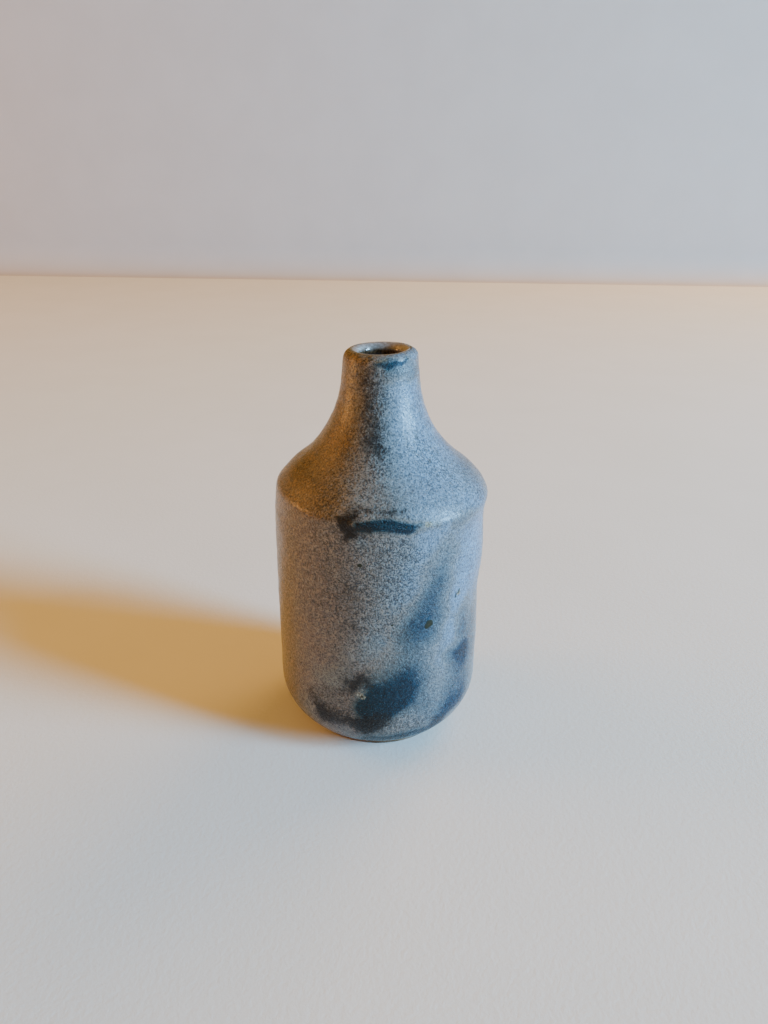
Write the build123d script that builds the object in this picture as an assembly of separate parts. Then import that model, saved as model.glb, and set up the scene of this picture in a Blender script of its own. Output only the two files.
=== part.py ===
from build123d import *

import math
import os

# Small stoneware bud vase: a straight-sided bottle with a crisp shoulder edge and a narrow neck.
#
# The clay is two thrown sections that lap inside one another just under the shoulder and are joined
# by a ring of slip. A satin glaze coats the outside down to a bare foot, and a gloss liner coats the
# inside. Both coats end on the crest of the lip. Iron granules in the clay have melted up through the
# outer glaze as small dark specks.
#
# Units are millimetres and degrees. The origin is on the axis where the foot stands, and +Z is up.

# Outside, over the glaze, from the base up
TOTAL_HEIGHT = 104.0
WALL_RADIUS = 27.6
HEEL_RADIUS = 14.2  # round between the base and the wall
WALL_TOP = 67.9  # the straight wall ends here and the shoulder edge begins
EDGE_RADIUS, EDGE_LEAN = 4.0, 36.0  # crisp edge, turning until the surface leans in this far
SHOULDER_RADIUS, SHOULDER_LEAN = 26.2, 53.3  # dome above the edge, up to its flattest lean
SWEEP_RADIUS, NECK_LEAN = 29.3, 5.7  # hollow sweep that stands the surface up again as the neck
LIP_OUTER_RADIUS = 1.75

# The two coats
GLAZE = 0.45  # thickness of each
GLAZE_LINE = 2.3  # the outer coat stops this high above the table

# Inside, over the liner, from the lip down
THROAT_RADIUS = 5.3
THROAT_BOTTOM = 93.0
FLARE_RADIUS = 20.0
CAVITY_SHOULDER_RADIUS = 14.0
CAVITY_RADIUS = 23.6
CAVITY_HEEL_RADIUS = 10.0
FLOOR_HEIGHT = 5.6

# Bare foot
FOOT_RADIUS = 19.8
FOOT_CHAMFER = 0.35
FOOT_RING_INNER_RADIUS = 14.0
FOOT_RECESS = 0.9

# Lap joint between the two clay sections
JOINT_HEIGHT = 66.4  # the upper section sits here
LAP_DEPTH = 3.2
LAP_RADIUS = 25.4  # outside of the upper section's spigot
SLIP = 0.3  # gap that the joining slip fills

# Iron specks in the wall: angle from the front (positive to the right), height, radius
SPECK_SINK = 0.06  # how far each stops under the glaze surface
SPECKS = [
    (27.7, 41.4, 1.10),
    (45.4, 46.9, 0.42),
    (46.9, 47.9, 0.45),
    (-7.8, 22.0, 0.75),
    (-8.9, 58.9, 0.42),
    (7.7, 42.8, 0.35),
    (28.3, 53.1, 0.32),
    (-19.6, 54.1, 0.30),
    (-2.3, 24.8, 0.34),
    (46.9, 19.0, 0.32),
    (-47.0, 25.5, 0.38),
    (-58.4, 24.0, 0.45),
    (-118.0, 50.0, 0.60),
    (-150.0, 33.0, 0.40),
    (171.0, 57.0, 0.45),
    (138.0, 28.0, 0.85),
    (104.0, 44.0, 0.38),
]


def upward(lean):
    """Direction that climbs while leaning in towards the axis by lean degrees."""
    return Vector(-math.sin(math.radians(lean)), math.cos(math.radians(lean)))


def outside_path(inset):
    """Outline from the base to the crest of the lip, moved in from the glaze surface by inset."""
    heel_start = (WALL_RADIUS - HEEL_RADIUS, inset)
    heel = JernArc(start=heel_start, tangent=(1, 0), radius=HEEL_RADIUS - inset, arc_size=90)
    wall = Line(heel @ 1, (WALL_RADIUS - inset, WALL_TOP))
    edge = JernArc(
        start=wall @ 1, tangent=upward(0), radius=EDGE_RADIUS - inset, arc_size=EDGE_LEAN
    )
    dome = JernArc(
        start=edge @ 1,
        tangent=upward(EDGE_LEAN),
        radius=SHOULDER_RADIUS - inset,
        arc_size=SHOULDER_LEAN - EDGE_LEAN,
    )
    sweep = JernArc(
        start=dome @ 1,
        tangent=upward(SHOULDER_LEAN),
        radius=SWEEP_RADIUS + inset,
        arc_size=NECK_LEAN - SHOULDER_LEAN,
    )
    lip_radius = LIP_OUTER_RADIUS - inset
    lip_start_height = TOTAL_HEIGHT - LIP_OUTER_RADIUS
    lip_start_height += lip_radius * math.sin(math.radians(NECK_LEAN))
    neck_length = (lip_start_height - (sweep @ 1).Y) / math.cos(math.radians(NECK_LEAN))
    neck = Line(sweep @ 1, sweep @ 1 + upward(NECK_LEAN) * neck_length)
    lip = JernArc(
        start=neck @ 1, tangent=upward(NECK_LEAN), radius=lip_radius, arc_size=90 - NECK_LEAN
    )
    return [heel, wall, edge, dome, sweep, neck, lip]


def crest_radius():
    """Radius of the circle along the top of the lip, where both coats end."""
    return (outside_path(0)[-1] @ 1).X


def inside_path(inset):
    """Outline from the crest of the lip to the floor at the axis, moved into the clay by inset."""
    lip = JernArc(
        start=(crest_radius(), TOTAL_HEIGHT - inset),
        tangent=(-1, 0),
        radius=crest_radius() - THROAT_RADIUS - inset,
        arc_size=90,
    )
    throat = Line(lip @ 1, (THROAT_RADIUS + inset, THROAT_BOTTOM))
    flare = JernArc(
        start=throat @ 1, tangent=(0, -1), radius=FLARE_RADIUS - inset, arc_size=SHOULDER_LEAN
    )
    lean = math.radians(SHOULDER_LEAN)
    arcs_run = (FLARE_RADIUS + CAVITY_SHOULDER_RADIUS) * (1 - math.cos(lean))
    slope_length = (CAVITY_RADIUS - THROAT_RADIUS - arcs_run) / math.sin(lean)
    downward = upward(SHOULDER_LEAN) * -1
    slope = Line(flare @ 1, flare @ 1 + downward * slope_length)
    shoulder = JernArc(
        start=slope @ 1,
        tangent=downward,
        radius=CAVITY_SHOULDER_RADIUS + inset,
        arc_size=-SHOULDER_LEAN,
    )
    heel_start = (CAVITY_RADIUS + inset, FLOOR_HEIGHT + CAVITY_HEEL_RADIUS)
    wall = Line(shoulder @ 1, heel_start)
    heel = JernArc(
        start=heel_start, tangent=(0, -1), radius=CAVITY_HEEL_RADIUS + inset, arc_size=-90
    )
    floor = Line(heel @ 1, (0, FLOOR_HEIGHT - inset))
    return [lip, throat, flare, slope, shoulder, wall, heel, floor]


def spin(outline):
    """Revolves a closed outline, drawn as radius and height, about the axis."""
    return revolve(Plane.XZ * make_face(outline), Axis.Z, 360)


def disc(radius, low, high):
    """A plain cylinder on the axis between two heights."""
    stood = (Align.CENTER, Align.CENTER, Align.MIN)
    return Pos(0, 0, low) * Cylinder(radius, high - low, align=stood)


def ring(inner, outer, low, high):
    """A plain ring on the axis between two heights."""
    return disc(outer, low, high) - disc(inner, low, high)


def filled(inset):
    """All that lies inside the outside outline at that inset, with no cavity."""
    path = outside_path(inset)
    base, crest = path[0] @ 0, path[-1] @ 1
    top, bottom = (0, crest.Y), (0, base.Y)
    return spin(path + [Line(crest, top), Line(top, bottom), Line(bottom, base)])


def hollow(inset):
    """The space inside the vase up to the level of the crest, grown into the clay by inset."""
    path = inside_path(inset)
    lip, floor = path[0] @ 0, path[-1] @ 1
    crest, top = (lip.X, TOTAL_HEIGHT), (0, TOTAL_HEIGHT)
    closing = [Line(floor, top), Line(top, crest)]
    if inset > 0:
        closing.append(Line(crest, lip))
    return spin(path + closing)


def fired_clay():
    """Both clay sections as one: the outline less its coats, on the trimmed foot."""
    glazed = filled(GLAZE) & disc(WALL_RADIUS, GLAZE_LINE, TOTAL_HEIGHT)
    foot = disc(FOOT_RADIUS, 0, GLAZE_LINE)
    foot = chamfer(foot.edges().sort_by(Axis.Z)[0], FOOT_CHAMFER)
    foot -= disc(FOOT_RING_INNER_RADIUS, 0, FOOT_RECESS)
    return glazed + foot - hollow(GLAZE)


def shoulder_and_neck():
    """Upper section, with the spigot that laps inside the wall."""
    above = disc(WALL_RADIUS, JOINT_HEIGHT, TOTAL_HEIGHT)
    spigot = disc(LAP_RADIUS, JOINT_HEIGHT - LAP_DEPTH, JOINT_HEIGHT)
    return fired_clay() & (above + spigot)


def lower_body():
    """Base, foot and wall, rebated at the top to take the spigot and the slip round it."""
    below = disc(WALL_RADIUS, 0, JOINT_HEIGHT - SLIP)
    rebate = disc(LAP_RADIUS + SLIP, JOINT_HEIGHT - LAP_DEPTH - SLIP, JOINT_HEIGHT)
    return fired_clay() & (below - rebate)


def seam_slip():
    """Slip in the lap: a flat under the shoulder, the sleeve round the spigot, a flat under that."""
    lap_bottom = JOINT_HEIGHT - LAP_DEPTH
    shoulder_flat = ring(LAP_RADIUS, WALL_RADIUS, JOINT_HEIGHT - SLIP, JOINT_HEIGHT)
    sleeve = ring(LAP_RADIUS, LAP_RADIUS + SLIP, lap_bottom, JOINT_HEIGHT)
    spigot_flat = disc(LAP_RADIUS + SLIP, lap_bottom - SLIP, lap_bottom)
    return fired_clay() & (shoulder_flat + sleeve + spigot_flat)


def speck_plugs(depth):
    """One short radial plug for each speck, standing outwards from the clay by depth."""
    clay_radius = WALL_RADIUS - GLAZE
    plugs = []
    for angle, height, radius in SPECKS:
        plug = Cylinder(radius, depth, align=(Align.CENTER, Align.CENTER, Align.MIN))
        plug = Pos(clay_radius, 0, height) * Rot(0, 90, 0) * plug
        plugs.append(Rot(0, 0, angle - 90) * plug)
    return plugs


def outer_glaze():
    """Satin coat from the glaze line to the crest of the lip, pitted down to each speck."""
    coat = filled(0) - filled(GLAZE) - hollow(GLAZE)
    coat &= disc(WALL_RADIUS, GLAZE_LINE, TOTAL_HEIGHT)
    for pit in speck_plugs(2 * GLAZE):
        coat -= pit
    return coat


def liner_glaze():
    """Gloss coat over the whole inside, from the crest of the lip to the floor."""
    return hollow(GLAZE) - hollow(0)


def iron_specks():
    """The specks themselves, each seated on the clay in its own pit."""
    return Compound(children=speck_plugs(GLAZE - SPECK_SINK))


def main():
    os.makedirs("parts", exist_ok=True)
    nodes = [lower_body, shoulder_and_neck, seam_slip, outer_glaze, liner_glaze, iron_specks]
    for node in nodes:
        export_step(node(), f"parts/{node.__name__}.step")
    print("crest radius", round(crest_radius(), 3))


main()
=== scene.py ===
import math

import bpy
import numpy as np
from mathutils import Matrix, Vector


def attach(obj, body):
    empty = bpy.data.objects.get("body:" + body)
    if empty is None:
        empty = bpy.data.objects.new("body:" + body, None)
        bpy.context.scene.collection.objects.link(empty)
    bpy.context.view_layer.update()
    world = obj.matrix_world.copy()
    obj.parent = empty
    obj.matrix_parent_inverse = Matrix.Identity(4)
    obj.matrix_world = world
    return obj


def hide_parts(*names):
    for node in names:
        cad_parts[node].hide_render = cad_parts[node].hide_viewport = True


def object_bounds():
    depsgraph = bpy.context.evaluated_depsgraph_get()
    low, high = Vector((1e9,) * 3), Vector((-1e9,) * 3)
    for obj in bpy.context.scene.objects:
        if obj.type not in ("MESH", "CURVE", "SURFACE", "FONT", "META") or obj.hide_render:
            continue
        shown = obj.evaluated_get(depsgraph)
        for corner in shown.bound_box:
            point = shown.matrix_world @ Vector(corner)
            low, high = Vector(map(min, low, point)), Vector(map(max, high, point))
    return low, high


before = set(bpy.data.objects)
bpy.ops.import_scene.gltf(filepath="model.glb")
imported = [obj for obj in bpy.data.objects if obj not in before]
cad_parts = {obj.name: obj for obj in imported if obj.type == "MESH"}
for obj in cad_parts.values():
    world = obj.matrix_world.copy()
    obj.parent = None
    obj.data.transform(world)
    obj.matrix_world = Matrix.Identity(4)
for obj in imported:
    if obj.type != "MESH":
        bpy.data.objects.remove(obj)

# The looks of a small hand-thrown bud vase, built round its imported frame. Sizes are in millimetres
# and angles in degrees until a mesh is made. An angle round the pot is 0 at the front, which faces
# -Y, and grows to the viewer's right.

MM = 0.001
cad_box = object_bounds()
HEIGHT = (cad_box[1].z - cad_box[0].z) / MM

# ---------------------------------------------------------------- the pot's form

WALL_RADIUS = 27.2
HEEL_RADIUS = 14.1
WALL_TOP = 68.2
EDGE_RADIUS, EDGE_LEAN = 3.3, 34.0
SHOULDER_RADIUS, SHOULDER_LEAN = 20.9, 53.6
SWEEP_RADIUS, NECK_LEAN = 30.1, 5.9
LIP_OUTER_RADIUS = 2.0
LIP_DROP = 0.3
LIP_HEIGHT = HEIGHT - LIP_DROP  # the lip's mean height: it tilts, and its high side is the full height

GLAZE = 0.45
GLAZE_LINE = 2.3

THROAT_RADIUS = 5.3
THROAT_BOTTOM = 93.0
FLARE_RADIUS = 20.0
CAVITY_SHOULDER_RADIUS = 14.0
CAVITY_RADIUS = 23.4
CAVITY_HEEL_RADIUS = 10.0
FLOOR_HEIGHT = 5.6

FOOT_RADIUS = 19.6
FOOT_RING_INNER_RADIUS = 14.0
FOOT_RECESS = 0.9
FOOT_ROUND = 0.4

JOINT_HEIGHT = 66.4
LAP_DEPTH = 3.2
LAP_BOTTOM = JOINT_HEIGHT - LAP_DEPTH
LAP_RADIUS = 25.3
SLIP = 0.3

# Points round each piece
GLAZE_SIDES = 336
FOOT_SIDES = 224
LINER_SIDES = 192
HIDDEN_SIDES = 160

# Spacing of points along each stretch of an outline
STEP = 0.6
WALL_STEP = 0.68
SHOULDER_STEP = 0.55
EDGE_STEP = 0.3
LIP_STEP = 0.2
FLARE_STEP = 0.8
CAVITY_STEP = 1.2
HEEL_STEP = 1.0
FOOT_STEP = 0.12

CUT_GAP = 0.02  # no point of an outline stays closer than this to a cut
JUST_ABOVE = 0.001  # keeps a cut off the level floor

# Radius at which a piece's rings stop, short of the axis
LINER_POLE = 0.4
CLAY_POLE = 0.5


class Outline:
    """Points along a line of straight runs and arcs, drawn as radius and height.

    The clay or glaze that it bounds lies on its left, so the normals point to its right.
    """

    def __init__(self, start, heading):
        self.points = [np.array(start, float)]
        self.headings = [float(heading)]

    def run(self, length, step=STEP):
        count = max(1, math.ceil(length / step))
        way = math.radians(self.headings[-1])
        start = self.points[-1]
        for k in range(1, count + 1):
            along = length * k / count
            self.points.append(start + along * np.array([math.cos(way), math.sin(way)]))
            self.headings.append(self.headings[-1])
        return self

    def arc(self, radius, turn, step=STEP):
        """A left turn is positive."""
        count = max(3, math.ceil(radius * abs(math.radians(turn)) / step))
        start, heading = self.points[-1], self.headings[-1]
        side = math.copysign(radius, turn)
        first = math.radians(heading)
        for k in range(1, count + 1):
            way = math.radians(heading + turn * k / count)
            swing = np.array([math.sin(way) - math.sin(first), math.cos(first) - math.cos(way)])
            self.points.append(start + side * swing)
            self.headings.append(heading + turn * k / count)
        return self

    @property
    def end(self):
        return self.points[-1]

    def arrays(self):
        """Points and outward normals, as two arrays of (radius, height)."""
        ways = np.radians(self.headings)
        return np.array(self.points), np.column_stack([np.sin(ways), -np.cos(ways)])


def outside_outline():
    """The glaze surface from the base plane up to the crest of the lip."""
    line = Outline((WALL_RADIUS - HEEL_RADIUS, 0), 0)
    line.arc(HEEL_RADIUS, 90)
    line.run(WALL_TOP - HEEL_RADIUS, WALL_STEP)
    line.arc(EDGE_RADIUS, EDGE_LEAN, EDGE_STEP)
    line.arc(SHOULDER_RADIUS, SHOULDER_LEAN - EDGE_LEAN, SHOULDER_STEP)
    line.arc(SWEEP_RADIUS, NECK_LEAN - SHOULDER_LEAN)
    lean = math.radians(NECK_LEAN)
    lip_start = LIP_HEIGHT - LIP_OUTER_RADIUS * (1 - math.sin(lean))
    line.run((lip_start - line.end[1]) / math.cos(lean))
    line.arc(LIP_OUTER_RADIUS, 90 - NECK_LEAN, LIP_STEP)
    return line


def inside_outline(crest_radius):
    """The liner's surface from the crest of the lip down to the middle of the floor."""
    line = Outline((crest_radius, LIP_HEIGHT), 180)
    line.arc(crest_radius - THROAT_RADIUS, 90, LIP_STEP)
    line.run(line.end[1] - THROAT_BOTTOM)
    line.arc(FLARE_RADIUS, SHOULDER_LEAN, FLARE_STEP)
    lean = math.radians(SHOULDER_LEAN)
    arcs_run = (FLARE_RADIUS + CAVITY_SHOULDER_RADIUS) * (1 - math.cos(lean))
    line.run((CAVITY_RADIUS - THROAT_RADIUS - arcs_run) / math.sin(lean), FLARE_STEP)
    line.arc(CAVITY_SHOULDER_RADIUS, -SHOULDER_LEAN, FLARE_STEP)
    line.run(line.end[1] - FLOOR_HEIGHT - CAVITY_HEEL_RADIUS, CAVITY_STEP)
    line.arc(CAVITY_HEEL_RADIUS, -90, HEEL_STEP)
    line.run(line.end[0] - LINER_POLE, CAVITY_STEP)
    return line


def between(points, normals, start_height, end_height):
    """The part of an outline between two heights, in the order given, cut exactly at both."""
    heights = points[:, 1]
    low, high = sorted((start_height, end_height))
    inner = np.flatnonzero((heights > low + CUT_GAP) & (heights < high - CUT_GAP))
    climbing = heights[-1] > heights[0]
    ends = []
    for height in (low, high):
        order = slice(None) if climbing else slice(None, None, -1)
        columns = [np.interp(height, heights[order], values[order]) for values in (*points.T, *normals.T)]
        ends.append(columns)
    rows = np.column_stack([points[inner], normals[inner]])
    if not climbing:
        rows = rows[::-1]
    rows = np.vstack([ends[0], rows, ends[1]])
    if start_height > end_height:
        rows = rows[::-1]
    return rows[:, :2], rows[:, 2:]


# ---------------------------------------------------------------- what the hand and the kiln did

def bump(value, middle, width):
    """1 at the middle, falling smoothly to nothing about twice the width away."""
    return np.exp(-(((value - middle) / width) ** 2))


def rise(value, low, high):
    """0 up to low, 1 from high, smooth between."""
    share = np.clip((value - low) / (high - low), 0, 1)
    return share * share * (3 - 2 * share)


def facing(angle, middle):
    """1 on the side of the pot at the middle angle, falling to 0 a quarter turn away."""
    return np.clip(np.cos(np.radians(angle - middle)), 0, 1)


def wander(angle, height, seed, turns=3, waves=9, fall=0.05):
    """Smooth unevenness from about -1 to 1 over the pot, the same each run."""
    dice = np.random.default_rng(seed)
    total = np.zeros(np.broadcast(angle, height).shape)
    for _ in range(waves):
        turn = dice.integers(0, turns + 1)
        climb = dice.uniform(-1, 1) * fall * 2 * np.pi
        total = total + np.cos(np.radians(turn * angle) + climb * height + dice.uniform(0, 2 * np.pi))
    return total / math.sqrt(waves)


EDGE_TILT, EDGE_HEIGHT, EDGE_SPREAD = 1.9, 69.0, 15.0  # the shoulder edge is high on the left
LIP_TILT, LIP_TILT_HEIGHTS = 2.0, (86.0, 101.0)  # the lip is high on the right
LEAN, LEAN_PIVOT = -0.16, 45.0  # the pot leans a little to the left
SHIFT = -0.2  # and stands a little to the left
SHOULDER_SHIFT, PUSHED_HEIGHT, PUSHED_SPREAD = 1.05, 72.5, 6.5  # the shoulder was pushed to the right
OUT_OF_ROUND = 0.0025

# Swells of the wall on two sides: a height, its spread, and how far it stands out, or in if negative
RIGHT_SWELLS = [(53.0, 5.5, 0.42), (40.0, 7.0, -0.42), (65.0, 4.0, -0.25)]
LEFT_SWELLS = [(42.0, 16.0, 0.16)]


def swelling(height, swells):
    return sum(depth * bump(height, middle, spread) for middle, spread, depth in swells)


def settle(radius, angle, height):
    """Where a point of the true form lies on the thrown pot, as an array of x, y and z."""
    share = radius / WALL_RADIUS
    right = swelling(height, RIGHT_SWELLS) * facing(angle, 90)
    left = swelling(height, LEFT_SWELLS) * facing(angle, -90)
    radius = radius + share * (right + left)
    radius = radius * (1 + OUT_OF_ROUND * wander(angle, height, 11, turns=2, fall=0.012))
    x, y = radius * np.sin(np.radians(angle)), -radius * np.cos(np.radians(angle))
    edge = bump(height, EDGE_HEIGHT, EDGE_SPREAD)
    lip = rise(height, *LIP_TILT_HEIGHTS)
    z = height - x * math.tan(math.radians(EDGE_TILT)) * edge * rise(radius, 5.0, 25.0)
    z = z + x * math.tan(math.radians(LIP_TILT)) * lip
    x = x + (height - LEAN_PIVOT) * math.tan(math.radians(LEAN))
    x = x + SHIFT + SHOULDER_SHIFT * bump(height, PUSHED_HEIGHT, PUSHED_SPREAD)
    return np.stack(np.broadcast_arrays(x, y, z), axis=-1)


MARK_PITCH = 3.4
MARK_DEPTH, DEEPER_MARKS = 0.018, 0.02
GLAZE_RIPPLE = 0.035
RIDGE_BEAD, RIDGE_BEAD_HEIGHT = 0.10, 68.0  # thick glaze under the shoulder edge, most right of the front
LOWER_BEAD, LOWER_BEAD_HEIGHT = 0.10, GLAZE_LINE + 1.0  # and where the glaze stops above the foot


def throwing_marks(angle, height):
    """Shallow spiral left by the fingers, deepest high on the wall and on the neck."""
    spiral = np.sin(2 * np.pi * (height / MARK_PITCH + angle / 360) + 0.8 * wander(angle, height, 3))
    deeper = rise(height, 30, 60) * (1 - rise(height, 69, 74)) + rise(height, 86, 92)
    depth = MARK_DEPTH + DEEPER_MARKS * deeper
    return depth * spiral * (0.7 + 0.3 * wander(angle, height, 4, fall=0.08))


def glaze_relief(angle, height):
    """How far the outer glaze stands proud of its mean surface."""
    relief = throwing_marks(angle, height)
    relief = relief + GLAZE_RIPPLE * wander(angle, height, 5, turns=14, waves=24, fall=0.14)
    pooled = bump(height, RIDGE_BEAD_HEIGHT, 1.0) * (0.35 + 0.65 * bump(angle, -4, 26))
    relief = relief + RIDGE_BEAD * pooled
    return relief + LOWER_BEAD * bump(height, LOWER_BEAD_HEIGHT, 1.1)


# ---------------------------------------------------------------- meshes

def smooth_object(name, vertices, faces):
    """A mesh with smooth shading, from vertices in millimetres."""
    mesh = bpy.data.meshes.new(name)
    mesh.from_pydata((np.array(vertices) * MM).tolist(), [], faces)
    mesh.polygons.foreach_set("use_smooth", np.ones(len(faces), bool))
    mesh.update()
    thing = bpy.data.objects.new(name, mesh)
    bpy.context.scene.collection.objects.link(thing)
    return thing


def lathe(name, rings, open_ended):
    """A closed mesh from rings of points. The last ring joins the first, or both ends close on a point."""
    count, sides = rings.shape[:2]
    vertices = rings.reshape(-1, 3)
    rows = count - 1 if open_ended else count
    row, side = np.meshgrid(np.arange(rows), np.arange(sides), indexing="ij")
    above, beside = (row + 1) % count, (side + 1) % sides
    quads = np.stack(
        [row * sides + side, row * sides + beside, above * sides + beside, above * sides + side], axis=-1
    ).reshape(-1, 4)
    faces = quads.tolist()
    if open_ended:
        poles = [rings[0].mean(axis=0), rings[-1].mean(axis=0)]
        first_pole, last_pole = len(vertices), len(vertices) + 1
        vertices = np.vstack([vertices, poles])
        top = (count - 1) * sides
        for k in range(sides):
            after = (k + 1) % sides
            faces.append([first_pole, after, k])
            faces.append([last_pole, top + k, top + after])
    return smooth_object(name, vertices, faces)


def turned(points, normals, sides, relief=None):
    """Rings of settled points for an outline, moved out along its normals by the relief."""
    angles = np.arange(sides) * 360 / sides
    angle, radius = np.meshgrid(angles, points[:, 0])
    height = np.broadcast_to(points[:, 1:2], angle.shape)
    if relief is not None:
        out = relief(angle, height)
        radius = radius + out * normals[:, 0:1]
        height = height + out * normals[:, 1:2]
    return settle(radius, angle, height), angle, height


def inset(points, normals, depth):
    """The outline moved into the material."""
    return points - depth * normals, normals


def corner_points(corners, step=1.0):
    """Points along straight runs between corners, with the corners kept crisp by close pairs."""
    rows = []
    for start, end in zip(corners, corners[1:]):
        start, end = np.array(start, float), np.array(end, float)
        length = np.linalg.norm(end - start)
        count = max(1, math.ceil(length / step))
        for k in range(count):
            rows.append(start + (end - start) * k / count)
    rows.append(np.array(corners[-1], float))
    return np.array(rows)


def finish_piece(piece, material, slot, *nodes):
    """Gives a piece its material and its body, and hides the CAD nodes that it stands for. The slot is not
    used.
    """
    piece.data.materials.append(material)
    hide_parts(*nodes)
    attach(piece, "root")
    return piece


# ---------------------------------------------------------------- where each colour lies on the glaze
# Each soft patch runs from one angle and height to another, with a width in millimetres and a strength.

PALE = [
    (60, 67, 48, 48, 5.5, 0.90),
    (47, 48, 42, 35, 3.6, 0.85),
    (42, 35, 32, 25, 3.4, 0.70),
    (27, 66, 16, 51, 4.5, 0.60),
    (15, 51, 0, 38, 4.4, 0.50),
    (0, 38, -24, 25, 4.4, 0.34),
    (-24, 25, -42, 13, 4.5, 0.50),
    (-56, 9, -10, 7.2, 1.8, 0.50),
    (72, 62, 64, 44, 4.5, 0.80),
    (82, 50, 80, 14, 5.0, 0.70),
    (24, 76, 80, 84, 8.0, 0.70),
    (20, 86, 52, 99, 6.0, 0.70),
    (-9.5, 66.6, -8.8, 65.6, 1.8, 0.95),
    (118, 64, 92, 34, 5.0, 0.80),
    (92, 34, 74, 14, 4.4, 0.60),
    (176, 66, 134, 36, 5.4, 0.80),
    (134, 36, 108, 12, 4.6, 0.70),
    (-100, 62, -140, 30, 5.0, 0.70),
    (-140, 30, -170, 10, 4.4, 0.65),
    (-150, 68, -182, 46, 4.6, 0.65),
    (120, 76, 200, 82, 7.0, 0.45),
]
BLUE = [
    (38, 61, 30, 52, 4.6, 0.20),
    (30, 52, 21, 42, 6.4, 0.25),
    (40, 45, 37, 36, 4.6, 0.18),
    (31, 26, 25, 16, 3.4, 0.20),
    (21, 42, 14, 30, 8.0, 0.28),
    (0, 24, 14, 26, 4.6, 0.40),
    (-5, 18.4, 15, 20.3, 3.6, 0.74),
    (-8, 13, 6, 15, 3.0, 0.40),
    (54, 43, 52, 36, 2.8, 0.36),
    (45, 31, 55, 29, 3.2, 0.52),
    (52, 25, 44, 16, 5.0, 0.36),
    (38, 10.5, 56, 14, 3.8, 0.36),
    (-6, 6.4, 42, 7.2, 2.6, 0.55),
    (-24, 4.6, 16, 4.4, 2.0, 0.40),
    (70, 36, 72, 12, 7.0, 0.36),
    (-14, 69.4, 20, 69.4, 0.6, 0.40),
    (-12, 68.0, 14, 68.6, 1.15, 0.90),
    (12, 68.4, 28, 68.5, 1.2, 0.35),
    (42, 68.0, 60, 68.4, 1.8, 0.30),
    (20, 100.4, 72, 98.8, 2.4, 0.48),
    (-6, 102.2, 42, 102.2, 0.9, 0.50),
    (150, 56, 124, 22, 6.0, 0.45),
    (134, 14, 150, 18, 4.4, 0.65),
    (100, 50, 92, 38, 3.6, 0.40),
    (-114, 44, -130, 18, 5.4, 0.45),
    (-152, 20, -136, 24, 4.2, 0.65),
    (-178, 34, -162, 52, 4.8, 0.40),
    (170, 69.6, 196, 69.6, 0.9, 0.70),
    (96, 68.8, 130, 69.0, 1.3, 0.40),
    (100, 100.5, 150, 102, 1.6, 0.50),
]
# Dark glaze, and painted shade down the front of the neck.
DARK_AND_SHADE = [
    (-19, 67.4, -7, 67.4, 1.7, 0.50),
    (-15, 65, 4, 62.5, 3.4, 0.24),
    (-14, 56, 4, 54, 5.0, 0.16),
    (-21, 70.2, -14, 70.4, 0.9, 0.70),
    (-19, 68.8, -15.5, 65.0, 1.4, 0.95),
    (-14, 24.5, -9, 27, 3.5, 0.80),
    (-36, 17, -30, 12.8, 3.4, 0.46),
    (-30, 12.8, -6, 11.8, 3.0, 0.62),
    (-6, 11.8, 5, 15, 2.6, 0.70),
    (-15, 52, -10, 42, 4.2, 0.30),
    (-28, 21, -18, 17, 4.0, 0.35),
    (-48, 56, -30, 40, 11.0, 0.12),
    (-17, 71.8, 10, 72.0, 1.0, 0.55),
    # Painted shade: these two patches are the dark band down the front of the neck and upper shoulder where
    # neither light reaches, over the glaze's own dark mottling.
    (-16, 99, -6, 84, 3.8, 0.56),
    (-12, 84, 0, 79, 4.0, 0.16),
    (-20, 7, 16, 5.6, 2.0, 0.40),
    (152, 32, 172, 24, 4.0, 0.50),
    (-96, 16, -80, 12, 3.4, 0.50),
    (-120, 60, -90, 40, 9.0, 0.25),
]
# Rust, and painted warm light: the first three patches, high on the left of the shoulder and neck, are
# mostly painted light, the brown that the warm lamps give the shoulder and a painted warm highlight on the
# neck.
RUST_AND_WARM_LIGHT = [
    (-85, 74, -28, 72.6, 4.6, 0.70),
    (-66, 80, -36, 82, 5.0, 0.45),
    (-80, 98, -44, 84, 5.0, 0.50),
    (-18.6, 69.6, -15.4, 69.5, 0.45, 1.8),
    (-90, 102.4, -22, 102.6, 1.1, 1.10),
    (-22, 102.6, 6, 102.7, 0.6, 0.60),
    (-62, 69.4, -28, 69.4, 0.8, 0.45),
    (110, 102.4, 230, 102.6, 0.8, 0.80),
    (120, 70.2, 200, 70.2, 0.6, 0.60),
    (-170, 76, -110, 74, 5.0, 0.50),
]
FLECKED = [
    (-40, 12, 24, 8, 5.0, 0.80),
    (-70, 60, -64, 20, 13.0, 0.45),
    (-15, 65, 8, 61.5, 5.5, 0.95),
    (-16, 56, 6, 54, 7.5, 0.95),
    (-24, 48, -6, 43, 7.5, 0.70),
    (-48, 58, -34, 44, 9.0, 0.35),
    (-16, 99, -4, 82, 4.5, 0.70),
    (-75, 75, -28, 76, 8.0, 0.60),
    (-34, 12, 30, 8, 5.0, 0.70),
    (44, 79, 66, 75, 4.5, 0.75),
    (30, 84, 48, 80, 3.0, 0.60),
    (-120, 60, -90, 40, 9.0, 0.55),
    (150, 60, 172, 50, 9.0, 0.80),
    (-172, 38, -150, 28, 9.0, 0.60),
]
CRUST = [
    (-9.8, 22.6, -7.2, 21.4, 0.80, 0.85),
    (-9.0, 24.2, -6.0, 23.4, 0.45, 0.6),
    (23.0, 69.3, 25.0, 69.2, 0.45, 1.0),
    (44.8, 47.0, 47.4, 47.4, 0.45, 1.0),
]


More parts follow.
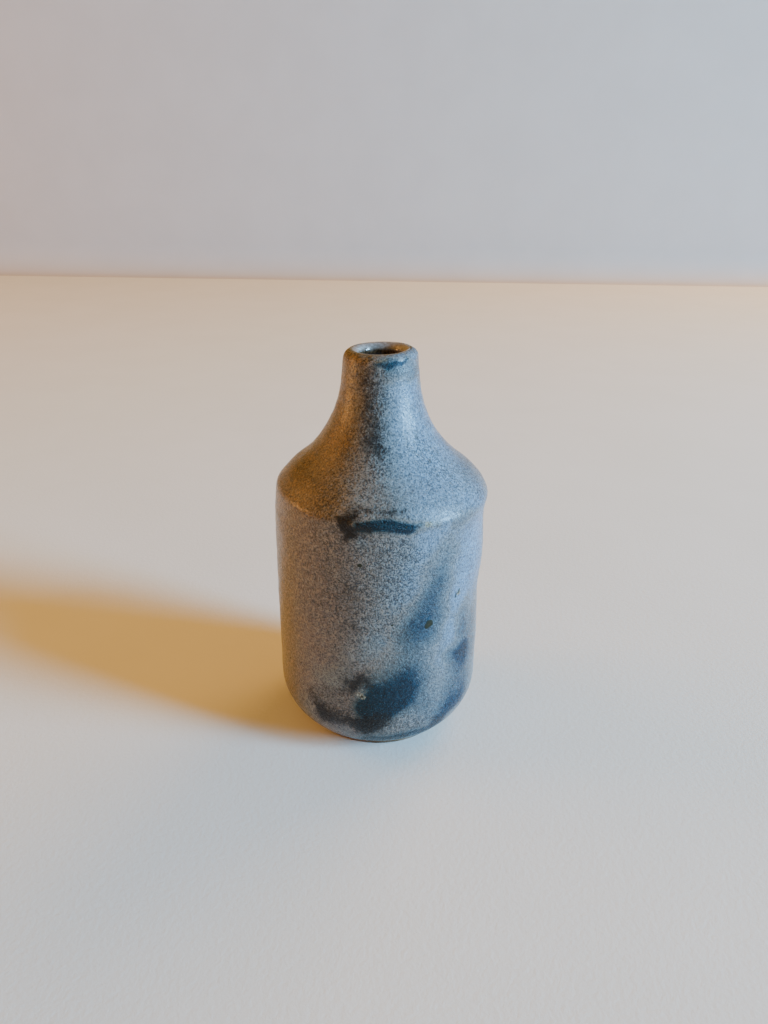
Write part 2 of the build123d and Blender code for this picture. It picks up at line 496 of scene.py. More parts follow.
def nearness(angle, height, streak):
    """How strongly one streak covers each point: 1 on its line, falling off with distance."""
    start_angle, start_height, end_angle, end_height, width, strength = streak
    around = np.interp(height, *OUTSIDE_RADII) * math.pi / 180  # millimetres for a degree
    run = np.array([end_angle - start_angle, end_height - start_height])
    turn = (angle - start_angle + 180) % 360 - 180
    dx, dy = turn * around, height - start_height
    rx, ry = run[0] * around, run[1]
    share = np.clip((dx * rx + dy * ry) / (rx * rx + ry * ry + 1e-6), 0, 1)
    distance = np.hypot(dx - share * rx, dy - share * ry)
    return strength * np.exp(-((distance / width) ** 2))


def cover(angle, height, streaks, seed):
    """Sum of a list of streaks, with their places pushed about so that no edge is even."""
    angle = angle + 1.6 * wander(angle, height, seed, turns=16, waves=20, fall=0.16)
    height = height + 0.6 * wander(angle, height, seed + 1, turns=16, waves=20, fall=0.16)
    total = sum(nearness(angle, height, streak) for streak in streaks)
    return np.clip(total, 0, 1.5)


def paint(piece, name, values):
    """Stores one value for each vertex, for the material to read."""
    layer = piece.data.attributes.new(name, "FLOAT", "POINT")
    layer.data.foreach_set("value", values.astype(np.float32).ravel())


# ---------------------------------------------------------------- materials

# The outer glaze's colour by its thickness, from 0 where it is thin and pale to 1 where it pools.
GLAZE_COLOURS = [
    (0.00, (0.196, 0.252, 0.302)),
    (0.20, (0.188, 0.206, 0.226)),
    (0.40, (0.210, 0.174, 0.155)),
    (0.55, (0.143, 0.140, 0.136)),
    (0.70, (0.074, 0.098, 0.106)),
    (0.88, (0.005, 0.037, 0.060)),
    (1.00, (0.002, 0.020, 0.034)),
]
# Each stain is a pair of colours that its grain mixes.
# The ink colours the dark glaze and the painted shade down the neck.
INK_AND_SHADE = (0.004, 0.005, 0.006), (0.020, 0.020, 0.020)
# Rust colours, used also for the painted warm light and highlight high on the left.
RUSTY_AND_WARM_LIT = (0.095, 0.055, 0.024), (0.270, 0.178, 0.090)
CRUSTED = (0.060, 0.050, 0.030), (0.330, 0.290, 0.210)
FLECK, BLOT = (0.010, 0.014, 0.019), (0.012, 0.015, 0.020)
# Colours of the painted glints.
GLINT_THIN, GLINT_THICK = (0.34, 0.34, 0.34), (0.030, 0.130, 0.185)
# These multiply the glaze's colour. The warm and cool tints are painted light: warmer on the side that the
# warm lamps light, bluer on the side that the cool windows light.
WARM_LIGHT_TINT, COOL_LIGHT_TINT = (1.06, 0.86, 0.58), (0.80, 1.15, 1.45)
# The pit and pock shades darken the pits: their own speckle, and painted shade in the hollows.
PIT_SHADE, POCK_SHADE = (0.12, 0.16, 0.22), (0.20, 0.24, 0.30)

LINER_BLUE = (0.014, 0.034, 0.050), (0.036, 0.070, 0.092)
LINER_BROWN = (0.030, 0.020, 0.012), (0.110, 0.066, 0.034)
LINER_LIP = (0.18, 0.155, 0.145), (0.30, 0.28, 0.28)
# The foot's bare clay, darkened as painted shade under the rounded heel.
FOOT_CLAY_SHADED = (0.17, 0.088, 0.045), (0.10, 0.054, 0.030)
SHOULDER_CLAY = (0.42, 0.235, 0.120), (0.33, 0.18, 0.09)
SLIP_CLAY = (0.36, 0.22, 0.12), (0.28, 0.16, 0.09)
GROG, GRIT = (0.055, 0.032, 0.020), (0.62, 0.47, 0.33)
IRON_BLACK, IRON_RUST = ((0.006, 0.008, 0.005), (0.030, 0.032, 0.018)), (0.070, 0.042, 0.018)
FLOOR_PALE = (0.78, 0.755, 0.725), (0.80, 0.775, 0.75)
WALL_PALE = (0.53, 0.46, 0.43), (0.55, 0.48, 0.45)


class Shader:
    """A node material, with short calls for the nodes that these materials share."""

    def __init__(self, name):
        self.material = bpy.data.materials.new(name)
        self.material.use_nodes = True
        self.tree = self.material.node_tree
        self.surface = self.tree.nodes["Principled BSDF"]
        place = self.add("TexCoord").outputs["Object"]
        self.place = self.add("VectorMath", {0: place, 1: (1 / MM,) * 3}, operation="MULTIPLY").outputs[0]

    def add(self, kind, values=None, **settings):
        node = self.tree.nodes.new("ShaderNode" + kind)
        for key, value in settings.items():
            setattr(node, key, value)
        for key, value in (values or {}).items():
            self.put(node.inputs[key], value)
        return node

    def put(self, socket, value):
        if isinstance(value, bpy.types.NodeSocket):
            self.tree.links.new(value, socket)
        else:
            socket.default_value = value

    def math(self, operation, first, second=0.0):
        return self.add("Math", {0: first, 1: second}, operation=operation).outputs[0]

    def times(self, first, second):
        return self.math("MULTIPLY", first, second)

    def plus(self, first, second):
        return self.math("ADD", first, second)

    def minus(self, first, second):
        return self.math("SUBTRACT", first, second)

    def wobble(self, noise, spread):
        """A noise moved to vary about zero."""
        return self.times(self.minus(noise, 0.5), spread)

    def set(self, **values):
        """Sets the surface shader's sockets. An underscore in a name stands for a space."""
        for key, value in values.items():
            self.put(self.surface.inputs[key.replace("_", " ")], value)

    def shifted(self, shift):
        """The place in the pattern, moved so that two noises differ."""
        return self.add("VectorMath", {0: self.place, 1: (shift, 2 * shift, 3 * shift)}).outputs[0]

    def noise(self, size, detail=3.0, rough=0.6, shift=0.0):
        """Cloudy noise from 0 to 1 whose largest clouds are about size millimetres across."""
        values = {"Vector": self.shifted(shift), "Scale": 1 / size, "Detail": detail, "Roughness": rough}
        return self.add("TexNoise", values).outputs[0]

    def cells(self, size, shift=0.0):
        """Distance to, and a random colour for, the nearest of points about size millimetres apart."""
        node = self.add("TexVoronoi", {"Vector": self.shifted(shift), "Scale": 1 / size})
        return node.outputs["Distance"], node.outputs["Color"]

    def fade(self, value, low, high, to_low=0.0, to_high=1.0):
        values = {"Value": value, "From Min": low, "From Max": high, "To Min": to_low, "To Max": to_high}
        return self.add("MapRange", values, interpolation_type="SMOOTHSTEP").outputs[0]

    def mix(self, share, first, second, blend="MIX"):
        node = self.add("Mix", data_type="RGBA", blend_type=blend)
        for socket, value in zip((node.inputs[0], node.inputs[6], node.inputs[7]), (share, first, second)):
            self.put(socket, (*value, 1.0) if isinstance(value, tuple) else value)
        return node.outputs[2]

    def tint(self, share, colour, by):
        """The colour multiplied by another, by a share."""
        return self.mix(share, colour, self.mix(1.0, colour, by, blend="MULTIPLY"))

    def stain(self, share, pair):
        """One of a pair of colours, or between them, by a share."""
        return self.mix(share, *pair)

    def ramp(self, value, stops):
        node = self.add("ValToRGB", {"Fac": value})
        elements = node.color_ramp.elements
        elements.remove(elements[1])
        elements[0].position, elements[0].color = stops[0][0], (*stops[0][1], 1.0)
        for position, colour in stops[1:]:
            elements.new(position).color = (*colour, 1.0)
        return node.outputs["Color"]

    def layer(self, name):
        return self.add("Attribute", attribute_name=name).outputs["Fac"]

    def raise_by(self, height, depth, before=None):
        """A bump whose full height is depth millimetres."""
        values = {"Height": height, "Distance": depth * MM, "Strength": 1.0}
        if before is not None:
            values["Normal"] = before
        return self.add("Bump", values).outputs[0]


class OuterGlaze(Shader):
    """Satin grey-lavender glaze that turns teal and navy where it is thick, full of fine dark flecks."""

    def __init__(self):
        super().__init__("outer_glaze")
        self.clouds = self.noise(8.0, 4.0, 0.6, shift=3)
        self.mottle = self.noise(1.5, 4.0, 0.65, shift=7)
        self.grain = self.noise(0.50, 3.0, 0.7, shift=11)
        self.pores = self.noise(0.44, 3.0, 0.65, shift=31)
        self.flecked = self.layer("flecked")
        self.thick = self.thickness()
        self.shaded = self.ragged("dark", 1.0, 0.12, 0.92)
        self.inky = self.math("MAXIMUM", self.fade(self.thick, 0.62, 0.98), self.shaded)
        colour = self.painted_side_light(self.stained())
        colour = self.glinted(self.specked(self.pitted(colour)))
        colour = self.mix(self.ragged("crust", 1.2, 0.25, 0.75), colour, self.coarse(CRUSTED, 0.40, 0.60))
        self.set(Base_Color=colour)
        self.shine()

    def ragged(self, name, spread, low, high):
        """A painted layer with its edge broken up by the mottle and the grain."""
        layer = self.layer(name)
        shift = self.plus(self.wobble(self.mottle, spread), self.wobble(self.grain, spread))
        return self.times(self.fade(self.plus(layer, shift), low, high), self.fade(layer, 0.02, 0.22))

    def coarse(self, pair, low=0.35, high=0.65):
        """A pair of colours mixed by the grain."""
        return self.stain(self.fade(self.grain, low, high), pair)

    def thickness(self):
        """About 0.34 where nothing is painted, more where the glaze ran and less where it drew off."""
        thick = self.minus(self.layer("blue"), self.times(self.layer("pale"), 0.34))
        thick = self.plus(self.plus(thick, 0.34), self.wobble(self.clouds, 0.24))
        return self.plus(thick, self.plus(self.wobble(self.mottle, 0.34), self.wobble(self.grain, 0.30)))

    def stained(self):
        colour = self.ramp(self.thick, GLAZE_COLOURS)
        # Rust, and the painted warm light and highlight high on the left.
        colour = self.mix(self.ragged("rust_and_warm_light", 0.9, 0.10, 1.00), colour, self.coarse(RUSTY_AND_WARM_LIT))
        # Dark glaze, and painted shade down the front of the neck.
        return self.mix(self.shaded, colour, self.coarse(INK_AND_SHADE))

    def painted_side_light(self, colour):
        # Painted light: the warm lamps' tint on the left side and the cool windows' tint on the right.
        for side, by in (("warm", WARM_LIGHT_TINT), ("cool", COOL_LIGHT_TINT)):
            colour = self.tint(self.layer(side), colour, by)
        return colour

    def pitted(self, colour):
        """Pocks and clouding, then the fine pits, deepest on the sides and where it is flecked. The pocks
        and pits darken the colour with their own speckle and with painted shade in the hollows.
        """
        warm, cool, flecked = self.layer("warm"), self.layer("cool"), self.flecked
        pock = self.fade(self.noise(0.70, 2.0, 0.6, shift=47), 0.36, 0.50, 1.0, 0.0)
        pock = self.times(pock, self.fade(self.math("MAXIMUM", warm, cool), 0.2, 1.0, 0.0, 0.60))
        colour = self.tint(pock, colour, POCK_SHADE)
        cloudy = self.fade(self.noise(1.15, 2.0, 0.6, shift=37), 0.33, 0.67, 0.62, 1.18)
        cloudy = self.mix(self.fade(flecked, 0.0, 1.0, 0.55, 1.0), (1.0, 1.0, 1.0), cloudy)
        colour = self.mix(1.0, colour, cloudy, blend="MULTIPLY")
        pit = self.fade(self.minus(self.pores, self.times(flecked, 0.015)), 0.39, 0.55, 1.0, 0.0)
        depth = self.plus(self.times(warm, 0.60), self.times(flecked, 0.42))
        depth = self.plus(depth, self.times(cool, 0.48))
        depth = self.minus(depth, self.times(self.layer("pale"), 0.16))
        depth = self.math("MINIMUM", self.plus(depth, 0.48), 1.0)
        return self.tint(self.times(pit, depth), colour, PIT_SHADE)

    def specked(self, colour):
        """Round flecks, gathered in crowds, and larger blots where it is flecked."""
        near, dice = self.cells(1.10, shift=5)
        size = self.fade(dice, 0.25, 1.0, 0.10, 0.40)
        fleck = self.minus(1.0, self.fade(self.math("DIVIDE", near, size), 0.55, 1.15))
        crowd = self.fade(self.noise(6.0, 3.0, shift=17), 0.35, 0.65, 0.15, 0.60)
        crowd = self.times(self.plus(crowd, self.times(self.flecked, 0.5)), 0.9)
        fleck = self.times(fleck, self.math("MINIMUM", crowd, 1.0))
        colour = self.mix(self.times(fleck, 0.88), colour, FLECK)
        near, dice = self.cells(2.0, shift=51)
        blot = self.math("DIVIDE", near, self.fade(dice, 0.2, 1.0, 0.08, 0.27))
        blot = self.minus(1.0, self.fade(self.plus(blot, self.wobble(self.grain, 1.2)), 0.50, 1.25))
        blot = self.times(blot, self.fade(self.flecked, 0.1, 0.8, 0.12, 0.85))
        return self.mix(blot, colour, BLOT)

    def glinted(self, colour):
        """Fine light specks painted as glints, grey on the thin glaze and blue in the thick."""
        glint = self.fade(self.noise(0.42, 2.0, 0.7, shift=23), 0.56, 0.70)
        glint = self.times(glint, self.fade(self.thick, 0.3, 0.9, 0.45, 0.22))
        glint = self.times(glint, self.fade(self.shaded, 0.1, 0.8, 1.0, 0.2))
        return self.mix(glint, colour, self.mix(self.fade(self.thick, 0.45, 0.9), GLINT_THIN, GLINT_THICK))

    def shine(self):
        """Satin, under a gentler clear coat that carries the highlights."""
        gloss = self.fade(self.thick, 0.2, 1.0, 0.30, 0.27)
        self.set(
            Roughness=self.plus(gloss, self.wobble(self.grain, 0.20)),
            Specular_IOR_Level=self.fade(self.inky, 0.0, 1.0, 0.34, 0.18),
            Coat_Weight=self.fade(self.inky, 0.0, 1.0, 0.45, 0.10),
            Coat_Roughness=0.23,
        )
        pebbled = self.raise_by(self.noise(1.1, 3.0, 0.65, shift=29), 0.26)
        self.set(Normal=self.raise_by(self.pores, 0.36, pebbled))
        self.set(Coat_Normal=self.raise_by(self.noise(0.9, 3.0, 0.6, shift=29), 0.17))


def liner_material():
    """Gloss blue glaze, browner under the lip and pale over it."""
    s = Shader("liner_glaze")
    clouds = s.noise(3.0, 4.0, shift=2)
    height = s.add("SeparateXYZ", {0: s.place}).outputs[2]
    ragged = s.plus(height, s.wobble(clouds, 1.6))
    brown = s.stain(s.fade(s.noise(0.6, 3.0, shift=12), 0.35, 0.65), LINER_BROWN)
    lip = s.stain(s.fade(s.noise(0.8, 4.0, shift=9), 0.35, 0.65), LINER_LIP)
    colour = s.stain(s.fade(clouds, 0.35, 0.65), LINER_BLUE)
    colour = s.mix(s.fade(ragged, HEIGHT - 3.6, HEIGHT - 2.4), colour, brown)
    colour = s.mix(s.fade(ragged, HEIGHT - 2.3, HEIGHT - 1.0), colour, lip)
    s.set(Base_Color=colour, Roughness=s.fade(ragged, HEIGHT - 1.6, HEIGHT - 0.4, 0.12, 0.36))
    s.set(Normal=s.raise_by(s.noise(2.2, 2.0, shift=4), 0.05))
    return s.material


def clay_material(name, pair, rings):
    """Fired stoneware: warm and dry, with grog, fine pale grit and the turning tool's rings."""
    s = Shader(name)
    colour = s.stain(s.fade(s.noise(5.0, 4.0, shift=1), 0.3, 0.7), pair)
    near, dice = s.cells(0.9, shift=6)
    size = s.fade(dice, 0.3, 1.0, 0.06, 0.26)
    grog = s.minus(1.0, s.fade(s.math("DIVIDE", near, size), 0.7, 1.1))
    colour = s.mix(s.times(grog, 0.6), colour, GROG)
    colour = s.mix(s.fade(s.noise(0.5, 2.0, shift=8), 0.58, 0.75, 0.0, 0.35), colour, GRIT)
    s.set(Base_Color=colour, Roughness=s.fade(s.noise(1.2, 2.0, shift=3), 0.3, 0.7, 0.72, 0.92))
    height = s.add("SeparateXYZ", {0: s.place}).outputs[2]
    radius = s.add("VectorMath", {0: s.place, 1: (1, 1, 0)}, operation="MULTIPLY").outputs[0]
    radius = s.add("VectorMath", {0: radius}, operation="LENGTH").outputs["Value"]
    grooved = s.raise_by(s.math("SINE", s.times(s.plus(radius, height), rings)), 0.020)
    s.set(Normal=s.raise_by(s.noise(0.5, 3.0, 0.7, shift=5), 0.06, grooved))
    return s.material


def iron_material():
    """Melted iron: olive black, rusty towards the middle of each granule."""
    s = Shader("iron")
    middle = s.plus(s.layer("middle"), s.wobble(s.noise(0.5, 3.0, shift=2), 1.0))
    black = s.stain(s.noise(0.35, 2.0, shift=4), IRON_BLACK)
    s.set(Base_Color=s.mix(s.times(s.fade(middle, 0.55, 1.0), 0.5), black, IRON_RUST))
    s.set(Roughness=s.fade(s.noise(0.6, 2.0, shift=6), 0.3, 0.7, 0.35, 0.65), Specular_IOR_Level=0.2)
    s.set(Normal=s.raise_by(s.noise(0.3, 2.0, 0.7, shift=7), 0.03))
    return s.material


# ---------------------------------------------------------------- the pieces

outside = outside_outline()
CREST_RADIUS = float(outside.end[0])
skin, skin_normals = outside.arrays()
lining, lining_normals = inside_outline(CREST_RADIUS).arrays()
OUTSIDE_RADII = (skin[:, 1], skin[:, 0])
clay_skin, _ = inset(skin, skin_normals, GLAZE)
clay_lining, _ = inset(lining, lining_normals, GLAZE)


def outer_glaze():
    """The outer coat: its outside from the glaze line to the crest, and back down against the clay."""
    points, normals = between(skin, skin_normals, GLAZE_LINE, LIP_HEIGHT)
    back, back_normals = between(clay_skin, skin_normals, LIP_HEIGHT - GLAZE, GLAZE_LINE)
    keep = np.r_[np.arange(0, len(back) - 1, 3), len(back) - 1]
    back, back_normals = back[keep], -back_normals[keep]
    front, angle, height = turned(points, normals, GLAZE_SIDES, glaze_relief)
    rear, rear_angle, rear_height = turned(back, back_normals, GLAZE_SIDES)
    piece = lathe("outer_glaze_coat", np.vstack([front, rear]), open_ended=False)
    angle, height = np.vstack([angle, rear_angle]), np.vstack([height, rear_height])
    layers = {"pale": PALE, "blue": BLUE, "dark": DARK_AND_SHADE, "rust_and_warm_light": RUST_AND_WARM_LIGHT, "crust": CRUST, "flecked": FLECKED}
    for seed, (name, patches) in enumerate(layers.items()):
        paint(piece, name, cover(angle, height, patches, 100 + 10 * seed))
    # Painted light: how much of the warm lamps' tint and of the cool windows' tint each side takes.
    paint(piece, "warm", facing(angle, -65))
    paint(piece, "cool", facing(angle, 80))
    return finish_piece(piece, OuterGlaze().material, "outer_glaze", "outer_glaze")


def liner_glaze():
    """The inside coat: from under the middle of the floor, out and up to the crest, and back."""
    under, under_normals = clay_lining[::-1], -lining_normals[::-1]
    points = np.vstack([under[:-1:2], [[CREST_RADIUS, LIP_HEIGHT - GLAZE]], lining])
    normals = np.vstack([under_normals[:-1:2], [[0.0, 1.0]], lining_normals])
    rings, _, _ = turned(points, normals, LINER_SIDES)
    piece = lathe("liner_glaze_coat", rings, open_ended=True)
    return finish_piece(piece, liner_material(), "liner_glaze", "liner_glaze")


def foot_outline():
    """The bare foot, from the recess round the ring it stands on and up to the glaze line."""
    line = Outline((FOOT_RING_INNER_RADIUS - FOOT_ROUND, FOOT_RECESS), 0)
    line.arc(FOOT_ROUND, -90, FOOT_STEP)
    line.run(FOOT_RECESS - 2 * FOOT_ROUND)
    line.arc(FOOT_ROUND, 90, FOOT_STEP)
    line.run(FOOT_RADIUS - FOOT_ROUND - line.end[0], 0.4)
    line.arc(FOOT_ROUND, 90, FOOT_STEP)
    line.run(GLAZE_LINE - FOOT_ROUND, 0.3)
    return line


def lower_body():
    """Base, foot and wall. Only the bare foot shows."""
    floor_height = FLOOR_HEIGHT - GLAZE
    wall, _ = between(clay_skin, skin_normals, GLAZE_LINE, JOINT_HEIGHT - SLIP)
    cavity, _ = between(clay_lining[:-1], lining_normals[:-1], LAP_BOTTOM - SLIP, floor_height + JUST_ABOVE)
    foot = foot_outline()
    under = corner_points([(CLAY_POLE, FOOT_RECESS), foot.points[0]], 0.8)
    ledge = corner_points([foot.end, wall[0]], 0.5)
    rebate = [(LAP_RADIUS + SLIP, JOINT_HEIGHT - SLIP), (LAP_RADIUS + SLIP, LAP_BOTTOM - SLIP)]
    step = corner_points([wall[-1], *rebate, cavity[0]])
    floor = corner_points([(cavity[-1][0], floor_height), (CLAY_POLE, floor_height)], 2.0)
    below = np.vstack([under[:-1], foot.points[:-1], ledge[:-1]])
    points = np.vstack([below, wall[:-1:2], step[:-1], cavity[:-1:2], floor])
    rings, _, _ = turned(points, np.zeros_like(points), FOOT_SIDES)
    piece = lathe("lower_body_clay", rings, open_ended=True)
    # The foot's clay is darkened as painted shade.
    return finish_piece(piece, clay_material("clay_foot_shaded", FOOT_CLAY_SHADED, 7.0), "clay", "lower_body")


def shoulder_and_neck():
    """The upper clay section, hidden between the two coats."""
    top = LIP_HEIGHT - GLAZE
    out, _ = between(clay_skin, skin_normals, JOINT_HEIGHT, top)
    back, _ = between(clay_lining[:-1], lining_normals[:-1], top, LAP_BOTTOM)
    spigot = corner_points([back[-1], (LAP_RADIUS, LAP_BOTTOM), (LAP_RADIUS, JOINT_HEIGHT), out[0]])
    points = np.vstack([out[:-1], back[:-1], spigot[:-1]])
    rings, _, _ = turned(points, np.zeros_like(points), HIDDEN_SIDES)
    piece = lathe("shoulder_and_neck_clay", rings, open_ended=False)
    material = clay_material("clay_shoulder", SHOULDER_CLAY, 2.0)
    return finish_piece(piece, material, "clay", "shoulder_and_neck")


def seam_slip():
    """The ring of slip in the lap joint, hidden under the coats."""
    out_radius = float(np.interp(JOINT_HEIGHT, clay_skin[:, 1], clay_skin[:, 0]))
    order = np.argsort(clay_lining[:-3, 1])
    in_radius = float(np.interp(LAP_BOTTOM, clay_lining[order, 1], clay_lining[order, 0]))
    corners = [
        (in_radius, LAP_BOTTOM - SLIP),
        (LAP_RADIUS + SLIP, LAP_BOTTOM - SLIP),
        (LAP_RADIUS + SLIP, JOINT_HEIGHT - SLIP),
        (out_radius, JOINT_HEIGHT - SLIP),
        (out_radius, JOINT_HEIGHT),
        (LAP_RADIUS, JOINT_HEIGHT),
        (LAP_RADIUS, LAP_BOTTOM),
        (in_radius, LAP_BOTTOM),
        (in_radius, LAP_BOTTOM - SLIP),
    ]
    points = corner_points(corners)[:-1]
    rings, _, _ = turned(points, np.zeros_like(points), HIDDEN_SIDES)
    piece = lathe("seam_slip_ring", rings, open_ended=False)
    return finish_piece(piece, clay_material("slip", SLIP_CLAY, 3.0), "slip", "seam_slip")


# Each speck has an angle, a height, half its length, half its width, and a turn of its long axis.
SPECKS = [
    (27.7, 41.4, 1.30, 1.05, 30),
    (45.4, 46.8, 0.85, 0.27, 70),
    (47.6, 47.9, 0.75, 0.24, 66),
    (-7.8, 21.5, 0.34, 0.26, 10),
    (-8.9, 58.9, 0.58, 0.48, 0),
    (7.7, 42.8, 0.40, 0.22, 20),
    (28.3, 53.1, 0.26, 0.24, 0),
    (37.0, 57.0, 0.20, 0.18, 0),
    (-19.6, 54.1, 0.24, 0.20, 40),
    (-2.3, 24.8, 0.28, 0.26, 0),
    (46.9, 19.0, 0.24, 0.22, 0),
    (-27.0, 15.5, 0.28, 0.24, 0),
    (-47.0, 25.5, 0.30, 0.26, 15),
    (-58.4, 24.0, 0.42, 0.26, 30),
    (-25.6, 102.6, 0.26, 0.22, 0),
    (45.5, 102.5, 0.28, 0.18, 0),
    (12.0, 69.0, 0.24, 0.20, 0),
    (-118.0, 50.0, 0.55, 0.40, 20),
    (-150.0, 33.0, 0.36, 0.30, 0),
    (171.0, 57.0, 0.42, 0.34, 50),
    (138.0, 28.0, 0.80, 0.62, 15),
    (104.0, 44.0, 0.34, 0.28, 0),
]
SPECK_PROUD = 0.05
SPECK_DEPTH = 0.30
SPECK_SIDES, SPECK_ROWS = 28, 9


def speck_shape(spec, number):
    """Points of one granule as (across, up, out), and how near its middle each one is."""
    _, _, half_length, half_width, turn = spec
    dice = np.random.default_rng(500 + number)
    around = np.arange(SPECK_SIDES) * 2 * np.pi / SPECK_SIDES
    waves = [dice.uniform(0.02, 0.10) * np.cos(k * around + dice.uniform(0, 6.3)) for k in (2, 3, 5)]
    ragged = 1 + sum(waves)
    across, up = math.cos(math.radians(turn)), math.sin(math.radians(turn))
    points, middles = [], []
    for way in np.radians(np.linspace(-90, 90, SPECK_ROWS + 2)[1:-1]):
        reach = math.cos(way) ** 0.6
        out = math.sin(way) * (SPECK_PROUD if way > 0 else SPECK_DEPTH)
        u = half_length * reach * ragged * np.cos(around)
        v = half_width * reach * ragged * np.sin(around)
        row = [u * across - v * up, u * up + v * across, np.full(SPECK_SIDES, out)]
        points.append(np.column_stack(row))
        middles.append(np.full(SPECK_SIDES, 1 - reach))
    return np.array(points), np.array(middles)


def speck(spec, number):
    """Rings of settled points of one granule, a ragged lens let into the glaze, and its middle values."""
    angle, height = spec[:2]
    points, middles = speck_shape(spec, number)
    heights, radii = OUTSIDE_RADII
    relief = float(glaze_relief(np.array([angle]), np.array([height]))[0])
    slope = np.gradient(radii, heights + 1e-6 * np.arange(len(heights)))
    tall = 1 / math.hypot(1, float(np.interp(height, heights, slope)))
    own_angle = angle + np.degrees(points[..., 0] / float(np.interp(height, heights, radii)))
    own_height = height + points[..., 1] * tall
    own_radius = np.interp(own_height, heights, radii) + relief + points[..., 2]
    return settle(own_radius, own_angle, own_height), middles


def speck_faces(base):
    """Faces of a closed granule whose vertices begin at base, with its two end points last."""
    faces = []
    last = base + (SPECK_ROWS - 1) * SPECK_SIDES
    bottom, top = last + SPECK_SIDES, last + SPECK_SIDES + 1
    for side in range(SPECK_SIDES):
        after = (side + 1) % SPECK_SIDES
        for low in range(base, last, SPECK_SIDES):
            high = low + SPECK_SIDES
            faces.append([low + side, low + after, high + after, high + side])
        faces.append([bottom, base + after, base + side])
        faces.append([top, last + side, last + after])
    return faces


def iron_specks():
    """All the granules, as one piece of separate closed solids."""
    vertices, faces, middles = [], [], []
    for number, spec in enumerate(SPECKS):
        rings, middle = speck(spec, number)
        faces.extend(speck_faces(len(vertices)))
        vertices.extend(rings.reshape(-1, 3).tolist())
        vertices.extend([rings[0].mean(axis=0).tolist(), rings[-1].mean(axis=0).tolist()])
        middles.extend(middle.ravel().tolist() + [1.0, 1.0])
    piece = smooth_object("iron_speck_granules", vertices, faces)
    paint(piece, "middle", np.array(middles))
    return finish_piece(piece, iron_material(), "iron", "iron_specks")


# ---------------------------------------------------------------- floor, lights and camera

ROOM_HALF_SIDE, ROOM_CORNER, ROOM_COVE, ROOM_HEIGHT = 900.0, 350.0, 40.0, 1600.0
CORNER_STEPS, COVE_STEPS = 12, 8

LIGHT_DISTANCE = 1.6  # metres from the middle of the pot
WORLD_COLOUR, WORLD_STRENGTH = (1.0, 0.610, 0.155), 0.395

CAMERA_PLACE = (1.0, -184.2, 144.7)
CAMERA_PITCH = 24.57  # below the horizon
CAMERA_ROLL = 0.85
LENS, SENSOR = 27.07, 36.0


def stage_object(name, vertices, faces, pair, grain):
    """Part of the set, in a pale matt material."""
    s = Shader(name)
    s.set(Base_Color=s.stain(s.fade(s.noise(60.0, 3.0), 0.3, 0.7), pair))
    s.set(Roughness=0.8, Specular_IOR_Level=0.2)
    s.set(Normal=s.raise_by(s.noise(1.4, 3.0, 0.7, shift=1), grain))
    thing = smooth_object(name, vertices, faces)
    thing.data.materials.append(s.material)
    return thing


def room_plan():
    """Round the room: the middle of each corner's arc, and the way out from it to the wall."""
    plan = []
    for turn in range(0, 360, 90):
        diagonal = math.radians(turn + 45)
        x = math.copysign(ROOM_HALF_SIDE - ROOM_CORNER, math.cos(diagonal))
        y = math.copysign(ROOM_HALF_SIDE - ROOM_CORNER, math.sin(diagonal))
        for k in range(CORNER_STEPS + 1):
            way = math.radians(turn + 90 * k / CORNER_STEPS)
            plan.append((x, y, math.cos(way), math.sin(way)))
    return plan


def room_section():
    """Up the wall: how far inwards and how high, from the floor's edge round the cove to the top."""
    section = [(ROOM_COVE, 0.0)]
    for k in range(1, COVE_STEPS + 1):
        way = math.radians(90 * k / COVE_STEPS)
        section.append((ROOM_COVE * (1 - math.sin(way)), ROOM_COVE * (1 - math.cos(way))))
    section.append((0.0, ROOM_HEIGHT))
    return section


def stage():
    """A pale floor in a square room with round corners. Only the camera sees the room's wall."""
    plan, section = room_plan(), room_section()
    count = len(plan)
    rows = []
    for inwards, z in section:
        reach = ROOM_CORNER - inwards
        rows.append([(x + reach * across, y + reach * along, z) for x, y, across, along in plan])
    walls = []
    for low in range(0, (len(section) - 1) * count, count):
        for k in range(count):
            after = (k + 1) % count
            walls.append([low + k, low + after, low + count + after, low + count + k])
    stage_object("floor", rows[0], [list(range(count))], FLOOR_PALE, 0.10)
    room = stage_object("wall", sum(rows, []), walls, WALL_PALE, 0.05)
    room.visible_diffuse = room.visible_glossy = room.visible_shadow = False


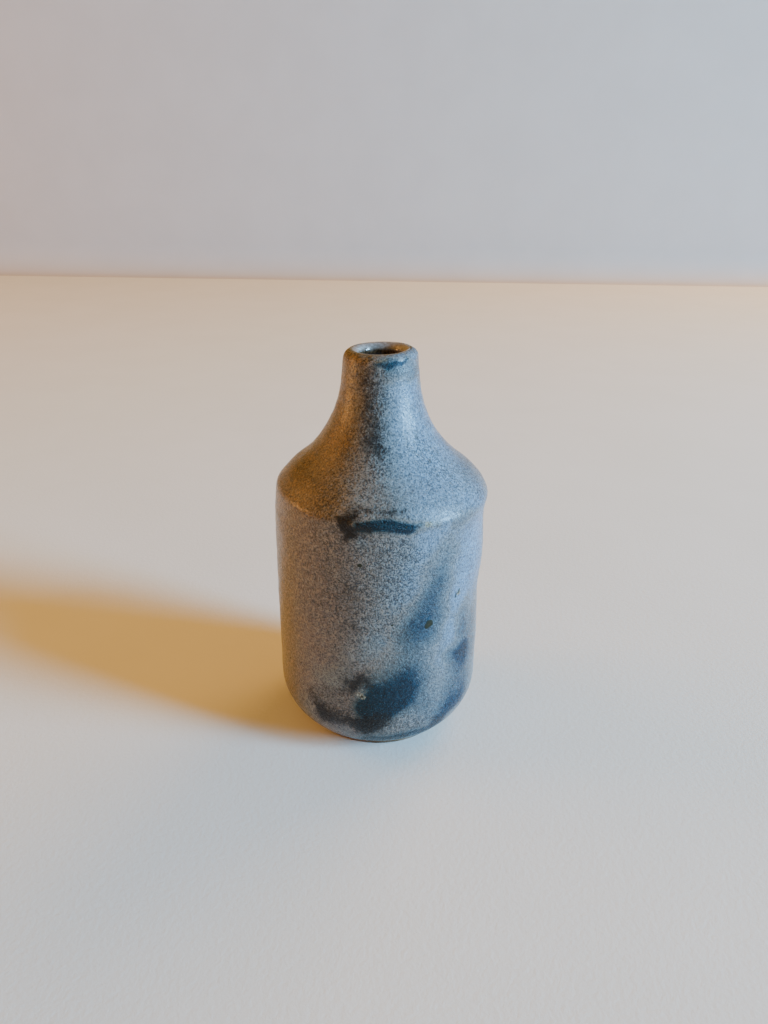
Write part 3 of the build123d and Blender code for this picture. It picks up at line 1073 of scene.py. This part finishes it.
def soft_light(name, azimuth, elevation, size, watts, colour, mirrored=True, lit=True):
    """A round soft light, its size in metres. Azimuth 0 is behind the camera, and grows to the right."""
    turn, climb = math.radians(azimuth), math.radians(elevation)
    way = Vector((math.sin(turn) * math.cos(climb), -math.cos(turn) * math.cos(climb), math.sin(climb)))
    lamp = bpy.data.lights.new(name, "AREA")
    lamp.shape, lamp.size, lamp.energy, lamp.color = "DISK", size, watts, colour
    light = bpy.data.objects.new(name, lamp)
    light.location = Vector((0, 0, HEIGHT * MM / 2)) + LIGHT_DISTANCE * way
    light.rotation_euler = way.to_track_quat("Z", "Y").to_euler()
    light.visible_glossy = mirrored
    light.visible_diffuse = lit
    bpy.context.scene.collection.objects.link(light)


def lights():
    """Cool windows on the right, warm lamps on the left and behind, and a warm room."""
    soft_light("key", 72, 13, 0.56, 74.0, (0.28, 0.640, 1.0))
    soft_light("high_window", 69, 31, 0.34, 17.0, (0.38, 0.70, 1.0))
    soft_light("warm_fill", -92, 6, 0.40, 12.0, (1.0, 0.44, 0.12))
    soft_light("warm_high", -105, 32, 0.8, 6.5, (1.0, 0.46, 0.13))
    soft_light("sky_sheen", 126, 30, 1.0, 13.0, (0.30, 0.66, 1.0), lit=False)
    soft_light("back_right", 140, 30, 1.1, 19.0, (1.0, 0.52, 0.11), mirrored=False)
    world = bpy.data.worlds.new("studio")
    bpy.context.scene.world = world
    world.use_nodes = True
    background = world.node_tree.nodes["Background"]
    background.inputs["Color"].default_value = (*WORLD_COLOUR, 1.0)
    background.inputs["Strength"].default_value = WORLD_STRENGTH


def camera():
    lens = bpy.data.cameras.new("camera")
    lens.lens, lens.sensor_width, lens.clip_start = LENS, SENSOR, 0.01
    view = bpy.data.objects.new("camera", lens)
    tilt = Matrix.Rotation(math.radians(90 - CAMERA_PITCH), 4, "X")
    roll = Matrix.Rotation(math.radians(CAMERA_ROLL), 4, "Z")
    view.matrix_world = Matrix.Translation(MM * Vector(CAMERA_PLACE)) @ tilt @ roll
    bpy.context.scene.collection.objects.link(view)
    bpy.context.scene.camera = view


outer_glaze()
liner_glaze()
lower_body()
shoulder_and_neck()
seam_slip()
iron_specks()
stage()
lights()
camera()
